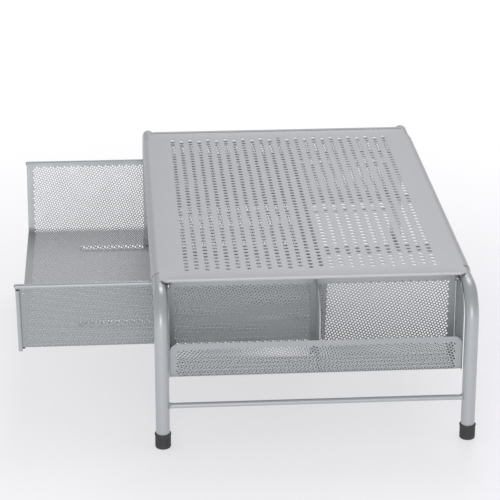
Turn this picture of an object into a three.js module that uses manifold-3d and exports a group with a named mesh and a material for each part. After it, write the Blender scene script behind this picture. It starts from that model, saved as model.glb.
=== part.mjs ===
import * as THREE from 'three';
import { mergeVertices } from 'three/addons/utils/BufferGeometryUtils.js';
import Module from 'manifold-3d';

// Monitor riser stand with a pull-out mesh drawer and two side trays.
// Millimetres. X runs along the stand, the drawer opens towards -Y, Z is up from the floor.
// The stand is drawn centred on its own tube frames and is moved in Y at the end, so that
// the origin is under the centre of the whole object with the drawer at rest.

// ---- driving dimensions -------------------------------------------------------------------

const GAP = 0.3; // clearance kept between neighbouring pieces

const TUBE = { radius: 6.35, wall: 1.0, legX: 247.65, frameY: 139.65, runZ: 141.75, bend: 25 };
const FOOT = { radius: 7.2, height: 14.5, base: 3.0, lip: 0.4, lipHeight: 2, chamfer: 0.8 };
const ROD = { radius: 2.5, z: 41.2 };

const PLATE = {
  thickness: 0.6,
  top: 149,
  wrapX: 192,
  wrapEnd: -30, // angle from the horizontal where the wrap round the tube ends
  hemX: 212, // inner edge of the hem, which is folded over the top of each end
  endX: 217,
  endY: 134.5, // half length of the fold, whose mitred corners clear the tube bends
};
const STIFFENER = { spacing: 139, width: 10, depth: 5, thickness: 0.8, bend: 1.2, length: 262 };

const SHEET = 0.4; // thickness of the perforated sheet
const TRAY = {
  backX: 200,
  lipX: 244,
  floor: 66.5,
  lipTop: 100,
  backTop: 143,
  bend: 4,
  halfWidth: 132.1,
  lipCorner: 7.3,
  backCorner: 9,
};
const TRAY_WALL = { inner: 132.4, frontX: 245.5, top: 144.5, curve: 24, corner: 3 };
const DIVIDER = { y: 3, frontX: 242.8, top: 142, flange: 5, bend: 1, curve: 24 };

const DRAWER = {
  frontY: -271.4,
  rearY: 16.2,
  floor: 60.5,
  floorX: 155, // outer half width at the floor
  rimX: 171.7, // outer half width under the rim
  bend: 4.5,
  beadX: 173.6,
  beadZ: 131,
  beadRadius: 2.3,
  beadNose: 1.2,
  hemDrop: 2.6,
  hemDepth: 6,
  hemBend: 1,
  edgeRadius: 1.9, // rolled front edge of each side wall
  edgeTop: 127,
};
const GROOVE = { x: 100, startY: -217, depth: 2.4, width: 13, slope: 2.5 }; // pressed into the floor
const GLIDE = { length: 10, height: 4.8, outerX: 177.3, corner: 0.6 };

const RAIL = {
  thickness: 0.7,
  bend: 0.8,
  top: 135.1,
  bottom: 127.5,
  innerX: 172,
  lipX: 174.2,
  outerX: 178.6,
  halfLength: 146,
  tabX: 192,
  tabLength: 12,
  stopX: 176.5,
  stopLength: 3,
  stopInset: 1, // between a stop and the channel's flanges
};
const DRAWER_OPEN = 50; // travel left beyond the rest position, up to the stops

const SCREW = { shank: 1.9, shankLength: 4.6, point: 0.5, head: 3.5, headHeight: 2.0, crown: 0.6 };
const RAIL_SCREW_X = 186;
const TRAY_SCREW_X = 207;

const SIDES = { tube: 16, bend: 7, wrap: 10, fillet: 4, bead: 10, screw: 16, foot: 32, rod: 16 };
const REACH = 1; // how far one solid runs into another that it is joined to or cut from

// ---- materials ----------------------------------------------------------------------------

const POWDER_COAT = { color: 0xbcbec1, roughness: 0.45, metalness: 0.6 };
const RUBBER = { color: 0x2f2f32, roughness: 0.8, metalness: 0 };
const ZINC = { color: 0xc9cacb, roughness: 0.35, metalness: 1 };
const NYLON = { color: 0xe4e4e0, roughness: 0.5, metalness: 0 };

// ---- small helpers ------------------------------------------------------------------------

const wasm = await Module();
wasm.setup();

const radians = THREE.MathUtils.degToRad;
const SIDE_NAMES = [['left', -1], ['right', 1]];
const DEPTH_NAMES = [['front', -1], ['rear', 1]];

function toSolid(geometry) {
  const plain = geometry.clone();
  plain.deleteAttribute('normal');
  plain.deleteAttribute('uv');
  const merged = mergeVertices(plain, 1e-4);
  return new wasm.Manifold(new wasm.Mesh({
    numProp: 3,
    vertProperties: new Float32Array(merged.attributes.position.array),
    triVerts: new Uint32Array(merged.index.array),
  }));
}

function toGeometry(solid) {
  const mesh = solid.getMesh();
  const geometry = new THREE.BufferGeometry();
  geometry.setAttribute('position', new THREE.BufferAttribute(new Float32Array(mesh.vertProperties), 3));
  geometry.setIndex(new THREE.BufferAttribute(new Uint32Array(mesh.triVerts), 1));
  geometry.computeVertexNormals();
  return geometry;
}

function joined(...geometries) {
  return toGeometry(geometries.map(toSolid).reduce((whole, next) => whole.add(next)));
}

function trimmed(geometry, outline) {
  return toGeometry(toSolid(geometry).intersect(toSolid(outline)));
}

function drilled(geometry, ...tools) {
  return toGeometry(tools.map(toSolid).reduce((rest, tool) => rest.subtract(tool), toSolid(geometry)));
}

function block(x0, x1, y0, y1, z0, z1) {
  const box = new THREE.BoxGeometry(x1 - x0, y1 - y0, z1 - z0);
  return box.translate((x0 + x1) / 2, (y0 + y1) / 2, (z0 + z1) / 2);
}

// Mirrors a geometry left to right and keeps its faces pointing out.
function mirroredX(geometry) {
  const copy = geometry.index ? geometry.toNonIndexed() : geometry.clone();
  copy.deleteAttribute('normal');
  copy.deleteAttribute('uv');
  copy.scale(-1, 1, 1);
  const p = copy.attributes.position;
  const a = new THREE.Vector3();
  const b = new THREE.Vector3();
  for (let i = 0; i < p.count; i += 3) {
    a.fromBufferAttribute(p, i + 1);
    b.fromBufferAttribute(p, i + 2);
    p.setXYZ(i + 1, b.x, b.y, b.z);
    p.setXYZ(i + 2, a.x, a.y, a.z);
  }
  return mergeVertices(copy, 1e-4);
}

// Extrudes an outline drawn in X and Z along Y, from y0 to y1.
function extrudeY(shape, y0, y1) {
  const solid = new THREE.ExtrudeGeometry(shape, { depth: y1 - y0, bevelEnabled: false, curveSegments: 6 });
  return solid.rotateX(Math.PI / 2).translate(0, y1, 0);
}

// Extrudes an outline drawn in Y and Z along X, from x0 to x1.
function extrudeX(shape, x0, x1) {
  const solid = new THREE.ExtrudeGeometry(shape, { depth: x1 - x0, bevelEnabled: false, curveSegments: 6 });
  return solid.rotateX(Math.PI / 2).rotateZ(Math.PI / 2).translate(x0, 0, 0);
}

// A line through corners [x, y, radius] with each corner rounded.
function roundedLine(corners) {
  const points = [];
  corners.forEach(([x, y, radius = 0], i) => {
    const here = new THREE.Vector2(x, y);
    if (!radius || i === 0 || i === corners.length - 1) {
      points.push(here);
      return;
    }
    const before = new THREE.Vector2(corners[i - 1][0], corners[i - 1][1]).sub(here).normalize();
    const after = new THREE.Vector2(corners[i + 1][0], corners[i + 1][1]).sub(here).normalize();
    const half = before.angleTo(after) / 2;
    const centre = before.clone().add(after).normalize().multiplyScalar(radius / Math.sin(half)).add(here);
    const from = before.multiplyScalar(radius / Math.tan(half)).add(here).sub(centre);
    const turn = after.multiplyScalar(radius / Math.tan(half)).add(here).sub(centre);
    const sweep = Math.atan2(from.cross(turn), from.dot(turn));
    for (let k = 0; k <= SIDES.fillet; k += 1) {
      points.push(from.clone().rotateAround(new THREE.Vector2(), sweep * k / SIDES.fillet).add(centre));
    }
  });
  return points;
}

// The section of a bent sheet: its centre line given half its thickness on each side.
function sheetSection(line, thickness) {
  const left = [];
  const right = [];
  line.forEach((point, i) => {
    const a = line[Math.max(i - 1, 0)];
    const b = line[Math.min(i + 1, line.length - 1)];
    const into = (i === 0 ? b.clone().sub(point) : point.clone().sub(a)).normalize();
    const out = (i === line.length - 1 ? into.clone() : b.clone().sub(point).normalize());
    const along = into.clone().add(out).normalize();
    const reach = thickness / 2 / along.dot(into);
    const normal = new THREE.Vector2(-along.y, along.x).multiplyScalar(reach);
    left.push(point.clone().add(normal));
    right.push(point.clone().sub(normal));
  });
  return new THREE.Shape([...left, ...right.reverse()]);
}

function arcPoints(cx, cy, radius, from, to, steps) {
  return Array.from({ length: steps + 1 }, (_, k) => {
    const angle = radians(from + (to - from) * k / steps);
    return new THREE.Vector2(cx + radius * Math.cos(angle), cy + radius * Math.sin(angle));
  });
}

function rodAlongY(radius, x, z, y0, y1, sides) {
  return new THREE.CylinderGeometry(radius, radius, y1 - y0, sides).translate(x, (y0 + y1) / 2, z);
}

function rodAlongZ(radius, x, y, z0, z1, sides) {
  return new THREE.CylinderGeometry(radius, radius, z1 - z0, sides)
    .rotateX(Math.PI / 2).translate(x, y, (z0 + z1) / 2);
}

const stand = new THREE.Group();

function addPiece(name, geometry, finish) {
  const mesh = new THREE.Mesh(geometry, new THREE.MeshStandardMaterial(finish));
  mesh.name = name;
  stand.add(mesh);
  return mesh;
}

// ---- tube frames --------------------------------------------------------------------------

// A flat path made of stations, each with its own point and direction, one per extrusion step.
class StationPath extends THREE.Curve {
  constructor(stations) {
    super();
    this.stations = stations;
  }

  station(u) {
    return this.stations[Math.round(u * (this.stations.length - 1))];
  }

  getPointAt(u, target = new THREE.Vector3()) {
    return target.copy(this.station(u).point);
  }

  getPoint(u, target) {
    return this.getPointAt(u, target);
  }

  getTangentAt(u, target = new THREE.Vector3()) {
    return target.copy(this.station(u).direction);
  }
}

function frameStations() {
  const { legX, runZ, bend } = TUBE;
  const endZ = FOOT.base + GAP;
  const stations = [{ point: new THREE.Vector3(-legX, 0, endZ), direction: new THREE.Vector3(0, 0, 1) }];
  [[-1, 0, 90], [1, 90, 180]].forEach(([side, from, to]) => {
    for (let k = 0; k <= SIDES.bend; k += 1) {
      const angle = radians(from + (to - from) * k / SIDES.bend);
      const centreX = side * (legX - bend);
      stations.push({
        point: new THREE.Vector3(centreX - bend * Math.cos(angle), 0, runZ - bend + bend * Math.sin(angle)),
        direction: new THREE.Vector3(Math.sin(angle), 0, Math.cos(angle)),
      });
    }
  });
  stations.push({ point: new THREE.Vector3(legX, 0, endZ), direction: new THREE.Vector3(0, 0, -1) });
  return stations;
}

function circle(radius, sides) {
  return arcPoints(0, 0, radius, 0, 360 - 360 / sides, sides - 1);
}

function frameTube() {
  const section = new THREE.Shape(circle(TUBE.radius, SIDES.tube));
  section.holes.push(new THREE.Path(circle(TUBE.radius - TUBE.wall, SIDES.tube).reverse()));
  const path = new StationPath(frameStations());
  return new THREE.ExtrudeGeometry(section, { steps: path.stations.length - 1, extrudePath: path });
}

for (const [name, side] of DEPTH_NAMES) {
  const tube = frameTube().translate(0, side * TUBE.frameY, 0);
  const holeRadius = SCREW.shank + GAP;
  const innerY = side * (TUBE.frameY - TUBE.radius);
  const cut = TUBE.radius + REACH;
  const holes = SIDE_NAMES.flatMap(([, x]) => [
    rodAlongZ(holeRadius, x * RAIL_SCREW_X, side * TUBE.frameY, TUBE.runZ - cut, TUBE.runZ, SIDES.screw),
    rodAlongY(holeRadius, x * TRAY_SCREW_X, TUBE.runZ, innerY - cut / 2, innerY + cut / 2, SIDES.screw),
  ]);
  addPiece(`${name}_tube_frame`, drilled(tube, ...holes), POWDER_COAT);
}

// ---- feet and cross rods ------------------------------------------------------------------

function footCup() {
  const inner = TUBE.radius + GAP;
  const { radius, height, base, lip, lipHeight, chamfer } = FOOT;
  const profile = [
    [0, 0], [radius - chamfer, 0], [radius - chamfer / 4, chamfer / 3], [radius, chamfer],
    [radius, height - lipHeight],
    [radius + lip, height - lipHeight + lip], [radius + lip, height - lip], [radius, height],
    [inner, height], [inner, base], [0, base],
  ];
  return new THREE.LatheGeometry(profile.map(([r, z]) => new THREE.Vector2(r, z)), SIDES.foot)
    .rotateX(Math.PI / 2);
}

for (const [depthName, y] of DEPTH_NAMES) {
  for (const [sideName, x] of SIDE_NAMES) {
    const foot = addPiece(`foot_${depthName}_${sideName}`, footCup(), RUBBER);
    foot.position.set(x * TUBE.legX, y * TUBE.frameY, 0);
  }
}

for (const [sideName, x] of SIDE_NAMES) {
  const half = TUBE.frameY - TUBE.radius - GAP;
  const rod = rodAlongY(ROD.radius, x * TUBE.legX, ROD.z, -half, half, SIDES.rod);
  addPiece(`${sideName}_cross_rod`, rod, POWDER_COAT);
}

// ---- top plate ----------------------------------------------------------------------------

function plateWrap() {
  const middle = PLATE.top - PLATE.thickness / 2;
  const radius = middle - TUBE.runZ;
  const rear = arcPoints(TUBE.frameY, TUBE.runZ, radius, 90, PLATE.wrapEnd, SIDES.wrap);
  const front = rear.map((p) => new THREE.Vector2(-p.x, p.y)).reverse();
  return extrudeX(sheetSection([...front, ...rear], PLATE.thickness), -PLATE.wrapX, PLATE.wrapX);
}

// A flat end past the wraps, with its edge folded back over the top as a hem.
function plateEnd(side) {
  const { top, thickness, hemX, endX, endY, wrapX } = PLATE;
  const flat = new THREE.ExtrudeGeometry(new THREE.Shape([
    new THREE.Vector2(wrapX - REACH, -TUBE.frameY), new THREE.Vector2(hemX, -TUBE.frameY),
    new THREE.Vector2(endX - thickness, -endY), new THREE.Vector2(endX - thickness, endY),
    new THREE.Vector2(hemX, TUBE.frameY), new THREE.Vector2(wrapX - REACH, TUBE.frameY),
  ]), { depth: thickness, bevelEnabled: false }).translate(0, 0, top - thickness);
  const hem = new THREE.ExtrudeGeometry(new THREE.Shape([
    new THREE.Vector2(hemX, -TUBE.frameY + REACH), new THREE.Vector2(endX - thickness, -endY),
    new THREE.Vector2(endX - thickness, endY), new THREE.Vector2(hemX, TUBE.frameY - REACH),
  ]), { depth: 2 * thickness, bevelEnabled: false }).translate(0, 0, top - thickness);
  const fold = rodAlongY(thickness, endX - thickness, top, -endY, endY, SIDES.bead);
  const end = joined(flat, hem, fold);
  return side > 0 ? end : mirroredX(end);
}

addPiece('top_plate', joined(plateWrap(), plateEnd(-1), plateEnd(1)), POWDER_COAT);

// Shallow channels across the underside of the plate.
[['left', -1], ['middle', 0], ['right', 1]].forEach(([name, place]) => {
  const top = PLATE.top - PLATE.thickness - GAP - STIFFENER.thickness / 2;
  const half = (STIFFENER.width - STIFFENER.thickness) / 2;
  const end = STIFFENER.length / 2;
  const line = roundedLine([
    [-half, top - STIFFENER.depth], [-half, top, STIFFENER.bend], [half, top, STIFFENER.bend],
    [half, top - STIFFENER.depth],
  ]);
  const channel = extrudeY(sheetSection(line, STIFFENER.thickness), -end, end);
  addPiece(`plate_stiffener_${name}`, channel, POWDER_COAT).position.x = place * STIFFENER.spacing;
});

// ---- side trays ---------------------------------------------------------------------------

// Outline of an upright panel in Y and Z, with its two top corners rounded.
function panelOutline(halfWidth, bottom, top, corner) {
  return new THREE.Shape(roundedLine([
    [-halfWidth, bottom], [-halfWidth, top, corner], [halfWidth, top, corner], [halfWidth, bottom],
  ]));
}

function traySheet() {
  const { backX, lipX, floor, lipTop, backTop, bend, halfWidth, lipCorner, backCorner } = TRAY;
  const t = SHEET / 2;
  const line = roundedLine([
    [backX + t, backTop], [backX + t, floor + t, bend], [lipX - t, floor + t, bend], [lipX - t, lipTop],
  ]);
  const bent = extrudeY(sheetSection(line, SHEET), -halfWidth, halfWidth);
  const middle = (backX + lipX) / 2;
  const below = floor - REACH;
  const back = extrudeX(panelOutline(halfWidth, below, backTop, backCorner), backX - REACH, middle + REACH);
  const lip = extrudeX(panelOutline(halfWidth, below, lipTop, lipCorner), middle, lipX + REACH);
  return trimmed(bent, joined(back, lip));
}

// Outline of a tray's end wall or divider in X and Z: a tall panel with one large rounded corner.
function wallOutline(backX, frontX, bottom, top, curve, corner) {
  return new THREE.Shape(roundedLine([
    [backX, top], [backX, bottom], [frontX, bottom, corner], [frontX, top, curve], [backX, top],
  ]));
}

function dividerSheet() {
  const { y, frontX, top, flange, bend, curve } = DIVIDER;
  const t = SHEET / 2;
  const backX = TRAY.backX + SHEET + GAP;
  const bottom = TRAY.floor + SHEET + GAP;
  const section = sheetSection(roundedLine([
    [backX + t, y - flange], [backX + t, y, bend], [frontX, y],
  ]), SHEET);
  const angle = new THREE.ExtrudeGeometry(section, { depth: top - bottom, bevelEnabled: false })
    .translate(0, 0, bottom);
  // The front corner at the floor clears the bend of the tray.
  const [y0, y1] = [y - flange - REACH, y + REACH];
  const outline = wallOutline(backX - REACH, frontX, bottom - REACH, top, curve, TRAY.bend + 1);
  const clear = extrudeY(outline, y0, y1);
  const bendCut = block(backX - REACH, backX + TRAY.bend, y0, y1, bottom - REACH, bottom + TRAY.bend);
  return drilled(trimmed(angle, clear), bendCut);
}

for (const [sideName, side] of SIDE_NAMES) {
  const placed = (geometry) => (side > 0 ? geometry : mirroredX(geometry));
  addPiece(`${sideName}_tray_sheet`, placed(traySheet()), POWDER_COAT);
  for (const [depthName, depth] of DEPTH_NAMES) {
    const { inner, frontX, top, curve, corner } = TRAY_WALL;
    const y = Math.min(depth * inner, depth * (inner + SHEET));
    const outline = wallOutline(TRAY.backX, frontX, TRAY.floor, top, curve, corner);
    const wall = extrudeY(outline, y, y + SHEET);
    const hole = rodAlongY(SCREW.shank + GAP, TRAY_SCREW_X, TUBE.runZ, y - REACH, y + REACH, SIDES.screw);
    addPiece(`${sideName}_tray_${depthName}_wall`, placed(drilled(wall, hole)), POWDER_COAT);
  }
  addPiece(`${sideName}_tray_divider`, placed(dividerSheet()), POWDER_COAT);
}

// ---- drawer -------------------------------------------------------------------------------

// Centre line of the drawer's trough, from one wall's top to the other, with or without grooves.
function troughLine(withGrooves) {
  const { floor, floorX, rimX, bend, beadZ } = DRAWER;
  const t = SHEET / 2;
  const z = floor + t;
  const half = GROOVE.width / 2;
  const groove = (x) => [
    [x - half, z], [x - half + GROOVE.slope, z - GROOVE.depth],
    [x + half - GROOVE.slope, z - GROOVE.depth], [x + half, z],
  ];
  const grooves = withGrooves ? [...groove(-GROOVE.x), ...groove(GROOVE.x)] : [];
  return roundedLine([
    [-rimX + t, beadZ], [-floorX + t, z, bend], ...grooves, [floorX - t, z, bend], [rimX - t, beadZ],
  ]);
}

function drawerTray() {
  const { frontY, rearY, floor, floorX, rimX, beadX, beadZ, beadRadius, beadNose } = DRAWER;
  const { hemDrop, hemDepth, hemBend, edgeRadius, edgeTop } = DRAWER;
  const plain = extrudeY(sheetSection(troughLine(false), SHEET), frontY, GROOVE.startY + SHEET);
  const grooved = extrudeY(sheetSection(troughLine(true), SHEET), GROOVE.startY, rearY);
  const pieces = [plain, grooved];
  // Closed front ends of the two grooves.
  for (const x of [-GROOVE.x, GROOVE.x]) {
    const half = GROOVE.width / 2 - GROOVE.slope;
    const cap = new THREE.Shape([
      new THREE.Vector2(x - half, floor + SHEET / 2 - GROOVE.depth),
      new THREE.Vector2(x + half, floor + SHEET / 2 - GROOVE.depth),
      new THREE.Vector2(x + GROOVE.width / 2, floor + SHEET / 2),
      new THREE.Vector2(x - GROOVE.width / 2, floor + SHEET / 2),
    ]);
    pieces.push(extrudeY(cap, GROOVE.startY, GROOVE.startY + SHEET));
  }
  // Rolled rims, which stop short of the glides at the rear and stand proud at the front.
  const lean = Math.atan2(rimX - floorX, beadZ - floor);
  for (const side of [-1, 1]) {
    const glideFront = rearY - GLIDE.length - GAP;
    pieces.push(rodAlongY(beadRadius, side * beadX, beadZ, frontY - beadNose, glideFront, SIDES.bead));
    const edgeBottom = floor + DRAWER.bend;
    const length = (edgeTop - edgeBottom) / Math.cos(lean);
    const midZ = (edgeTop + edgeBottom) / 2;
    const midX = rimX - (beadZ - midZ) * Math.tan(lean) + edgeRadius - SHEET;
    const edge = new THREE.CylinderGeometry(edgeRadius, edgeRadius, length, SIDES.bead)
      .rotateX(Math.PI / 2).rotateY(lean).translate(midX, frontY + edgeRadius, midZ);
    pieces.push(side > 0 ? edge : mirroredX(edge));
  }
  // Floor hem, turned down and back at the open front.
  const hemY = frontY + SHEET / 2;
  const hemZ = floor - hemDrop + SHEET / 2;
  const hemLine = roundedLine([[frontY + hemDepth, hemZ], [hemY, hemZ, hemBend], [hemY, floor + SHEET / 2]]);
  const hemHalf = floorX - DRAWER.bend;
  pieces.push(extrudeX(sheetSection(hemLine, SHEET), -hemHalf, hemHalf));
  return joined(...pieces);
}

function drawerRearWall() {
  const { floor, floorX, rimX, bend, beadZ, beadRadius, rearY } = DRAWER;
  const y = rearY + GAP;
  const outline = new THREE.Shape(roundedLine([
    [-rimX, beadZ], [-floorX, floor, bend], [floorX, floor, bend], [rimX, beadZ],
  ]));
  const panel = extrudeY(outline, y, y + SHEET);
  const roll = new THREE.CylinderGeometry(beadRadius, beadRadius, 2 * (rimX - REACH), SIDES.bead)
    .rotateZ(Math.PI / 2).translate(0, y + beadRadius, beadZ);
  return joined(panel, roll);
}

function drawerGlide() {
  const { beadX, beadZ, beadRadius, rearY, rimX } = DRAWER;
  const half = GLIDE.height / 2;
  const left = rimX + GAP;
  const outline = new THREE.Shape(roundedLine([
    [left, beadZ], [left, beadZ - half, GLIDE.corner], [GLIDE.outerX, beadZ - half, GLIDE.corner],
    [GLIDE.outerX, beadZ + half, GLIDE.corner], [left, beadZ + half, GLIDE.corner], [left, beadZ],
  ]));
  return extrudeY(outline, rearY - GLIDE.length, rearY);
}

addPiece('drawer_tray', drawerTray(), POWDER_COAT);
addPiece('drawer_rear_wall', drawerRearWall(), POWDER_COAT);
addPiece('drawer_glide_right', drawerGlide(), NYLON);
addPiece('drawer_glide_left', mirroredX(drawerGlide()), NYLON);

// ---- drawer rails and screws --------------------------------------------------------------

function drawerRail() {
  const { thickness, bend, top, bottom, innerX, lipX, outerX, halfLength, tabX, tabLength } = RAIL;
  const t = thickness / 2;
  const line = roundedLine([
    [innerX, top - t], [outerX - t, top - t, bend], [outerX - t, bottom + t, bend], [lipX, bottom + t],
  ]);
  const channel = extrudeY(sheetSection(line, thickness), -halfLength, halfLength);
  const tabs = [-1, 1].map((depth) => {
    const y = depth * TUBE.frameY;
    const tab = block(outerX - 2 * bend, tabX, y - tabLength / 2, y + tabLength / 2, top - thickness, top);
    const hole = rodAlongZ(SCREW.shank + GAP, RAIL_SCREW_X, y, top - 2 * REACH, top + REACH, SIDES.screw);
    return drilled(tab, hole);
  });
  // A dimple that stops the glide when the drawer is fully open, and a tab at the rear end.
  const glideFront = DRAWER.rearY - GLIDE.length;
  const stopY = glideFront - DRAWER_OPEN - GAP;
  const stops = [
    block(
      RAIL.stopX, outerX - t, stopY - RAIL.stopLength, stopY,
      bottom + thickness + RAIL.stopInset, top - thickness - RAIL.stopInset,
    ),
    block(lipX, outerX - t, halfLength - RAIL.stopLength, halfLength, bottom + t, top - t),
  ];
  return joined(channel, ...tabs, ...stops);
}

addPiece('right_drawer_rail', drawerRail(), ZINC);
addPiece('left_drawer_rail', mirroredX(drawerRail()), ZINC);

// A pan-head screw that points along +Z, with the underside of its head at z = 0.
function panScrew() {
  const { shank, shankLength, point, head, headHeight, crown } = SCREW;
  const profile = [
    [0, -headHeight], [head * crown, -headHeight], [head, -headHeight * (1 - crown)], [head, 0],
    [shank, 0], [shank, shankLength - point], [shank - point, shankLength], [0, shankLength],
  ];
  return new THREE.LatheGeometry(profile.map(([r, z]) => new THREE.Vector2(r, z)), SIDES.screw)
    .rotateX(Math.PI / 2);
}

for (const [depthName, depth] of DEPTH_NAMES) {
  for (const [sideName, side] of SIDE_NAMES) {
    const railScrew = addPiece(`rail_screw_${depthName}_${sideName}`, panScrew(), ZINC);
    railScrew.position.set(side * RAIL_SCREW_X, depth * TUBE.frameY, RAIL.top - RAIL.thickness - GAP);
    const trayScrew = addPiece(`tray_screw_${depthName}_${sideName}`, panScrew(), ZINC);
    trayScrew.position.set(side * TRAY_SCREW_X, depth * (TRAY_WALL.inner - GAP), TUBE.runZ);
    trayScrew.rotation.x = -depth * Math.PI / 2;
  }
}

// ---- origin under the centre of the whole object -------------------------------------------

const frontmost = DRAWER.frontY - DRAWER.beadNose;
const rearmost = TUBE.frameY + PLATE.top - TUBE.runZ;
const object = new THREE.Group();
stand.position.y = -(frontmost + rearmost) / 2;
object.add(stand);
object.updateMatrixWorld(true);

export default object;
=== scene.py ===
"""Looks of a monitor riser stand: perforated sheet steel on bent tube legs, with a drawer and two side trays.

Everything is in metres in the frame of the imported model. +X is the stand's right end seen from the
drawer side, the drawer opens towards -Y, and the stand rests on z = 0.
"""
import math

import bpy
import numpy as np
from mathutils import Euler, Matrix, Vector
from mathutils.geometry import delaunay_2d_cdt


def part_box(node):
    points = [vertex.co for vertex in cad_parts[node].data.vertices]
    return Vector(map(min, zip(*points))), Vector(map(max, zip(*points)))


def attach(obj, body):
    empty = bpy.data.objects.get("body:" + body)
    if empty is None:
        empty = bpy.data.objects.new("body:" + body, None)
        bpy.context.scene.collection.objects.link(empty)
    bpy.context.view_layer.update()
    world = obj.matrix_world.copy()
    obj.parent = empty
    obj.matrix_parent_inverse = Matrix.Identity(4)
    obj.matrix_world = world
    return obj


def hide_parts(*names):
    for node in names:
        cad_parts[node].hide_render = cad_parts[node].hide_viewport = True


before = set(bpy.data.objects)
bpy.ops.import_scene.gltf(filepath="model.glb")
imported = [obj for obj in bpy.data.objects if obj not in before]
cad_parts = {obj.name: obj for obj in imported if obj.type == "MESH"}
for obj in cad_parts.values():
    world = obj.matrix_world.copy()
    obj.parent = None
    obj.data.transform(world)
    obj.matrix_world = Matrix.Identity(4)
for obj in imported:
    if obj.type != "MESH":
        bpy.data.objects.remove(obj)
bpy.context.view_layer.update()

# ---- sizes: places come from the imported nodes, the rest are details of this object ---------------

MM = 0.001
FRONT_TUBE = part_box("front_tube_frame")
REAR_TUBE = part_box("rear_tube_frame")
TUBE_R = (FRONT_TUBE[1].y - FRONT_TUBE[0].y) / 2
LEG_X = FRONT_TUBE[1].x - TUBE_R
RUN_Z = FRONT_TUBE[1].z - TUBE_R
FRONT_Y = (FRONT_TUBE[0].y + FRONT_TUBE[1].y) / 2
REAR_Y = (REAR_TUBE[0].y + REAR_TUBE[1].y) / 2
STAND_Y = (FRONT_Y + REAR_Y) / 2
BEND_R = 25 * MM

END_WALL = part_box("right_tray_front_wall")
SHEET_T = END_WALL[1].y - END_WALL[0].y
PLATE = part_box("top_plate")
PLATE_T = 0.6 * MM
PLATE_TOP = PLATE[1].z - PLATE_T  # the hems at its ends lie on top of it

SMALL_CORNER = 0.5 * MM
MERGE_STEP = 0.01 * MM  # corners of neighbouring cells are merged when they round to the same step
TOUCHING = 1e-9  # points this close are one point to the triangulation
SMOOTH_ANGLE = math.radians(35)


class Perforation:
    """Rows of holes: pitch along a row, spacing between rows, every second row moved half a pitch."""

    def __init__(self, pitch, spacing, radius, sides):
        self.pitch, self.spacing, self.radius, self.sides = pitch, spacing, radius, sides
        low = (spacing ** 2 - pitch ** 2 / 4) / (2 * spacing)
        high = spacing - low
        half = pitch / 2
        # Corners of the cell nearest to one hole, counter-clockwise.
        self.corners = np.array([
            (half, -low), (half, low), (0, high), (-half, low), (-half, -low), (0, -high),
        ])

    def hole(self):
        """The hole's corners, and which of them faces each corner of the cell."""
        facing = np.arctan2(self.corners[:, 1], self.corners[:, 0])
        if self.sides == len(facing):
            angles = facing
            first = np.arange(self.sides)
        else:
            angles = facing[0] + np.arange(self.sides) * math.tau / self.sides
            first = np.rint(((facing - facing[0]) % math.tau) / math.tau * self.sides).astype(int)
        points = self.radius * np.stack([np.cos(angles), np.sin(angles)], axis=1)
        return points, first


MESH_HOLES = Perforation(pitch=2.6 * MM, spacing=2.6 * MM, radius=1.06 * MM, sides=6)
PLATE_HOLES = Perforation(pitch=8.025 * MM, spacing=9.521 * MM, radius=2.25 * MM, sides=18)


# ---- flat patterns --------------------------------------------------------------------------------

def rotated(points, angle):
    c, s = math.cos(angle), math.sin(angle)
    return np.asarray(points) @ np.array([[c, s], [-s, c]])


def inside(points, polygon):
    """Which points lie inside a closed polygon, by the even-odd rule."""
    a = np.asarray(polygon)
    return crossings(points, a, np.roll(a, -1, axis=0)) % 2 == 1


def crossings(points, a, b):
    """How many of the edges from a to b lie to the right of each point."""
    count = np.zeros(len(points), int)
    for (ax, ay), (bx, by) in zip(a, b):
        if ay == by:
            continue
        spans = (points[:, 1] >= min(ay, by)) & (points[:, 1] < max(ay, by))
        at = ax + (points[:, 1] - ay) * (bx - ax) / (by - ay)
        count += spans & (points[:, 0] < at)
    return count


def rounded(corners, step=0.5 * MM):
    """A closed outline through corners (x, y, radius), each rounded by an arc."""
    points = []
    for i, (x, y, radius) in enumerate(corners):
        here = Vector((x, y))
        if radius == 0:
            points.append(here)
            continue
        before = (Vector(corners[i - 1][:2]) - here).normalized()
        after = (Vector(corners[(i + 1) % len(corners)][:2]) - here).normalized()
        points += fillet(here, before, after, radius, step)
    return [tuple(p) for p in points]


def fillet(here, before, after, radius, step):
    """Points of the arc that rounds the corner at here between two directions."""
    half = before.angle(after) / 2
    centre = here + (before + after).normalized() * radius / math.sin(half)
    start = here + before * radius / math.tan(half) - centre
    end = here + after * radius / math.tan(half) - centre
    sweep = math.atan2(start.x * end.y - start.y * end.x, start.dot(end))
    count = max(3, math.ceil(abs(sweep) * radius / step))
    turns = (sweep * k / count for k in range(count + 1))
    return [centre + Vector((start.x * math.cos(t) - start.y * math.sin(t),
                             start.x * math.sin(t) + start.y * math.cos(t))) for t in turns]


def stepped(outline, step):
    """A closed outline with no edge longer than step."""
    points = []
    for i, a in enumerate(outline):
        b = outline[(i + 1) % len(outline)]
        count = max(1, math.ceil(math.dist(a, b) / step))
        points += [(a[0] + (b[0] - a[0]) * k / count, a[1] + (b[1] - a[1]) * k / count) for k in range(count)]
    return points


def box_outline(u0, u1, v0, v1):
    return [(u0, v0), (u1, v0), (u1, v1), (u0, v1)]


def hole_centres(holes, field, angle, origin):
    """Hole centres of a perforation inside a field, with its rows turned by angle."""
    field = np.asarray(field)
    local = rotated(field - origin, -angle)
    low, high = local.min(axis=0), local.max(axis=0)
    rows = np.arange(math.floor(low[1] / holes.spacing), math.ceil(high[1] / holes.spacing) + 1)
    places = np.arange(math.floor(low[0] / holes.pitch) - 1, math.ceil(high[0] / holes.pitch) + 2)
    row, place = np.meshgrid(rows, places, indexing="ij")
    centres = np.stack([(place + (row % 2) / 2) * holes.pitch, row * holes.spacing], axis=-1).reshape(-1, 2)
    centres = rotated(centres, angle) + origin
    return centres[inside(centres, field)]


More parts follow.
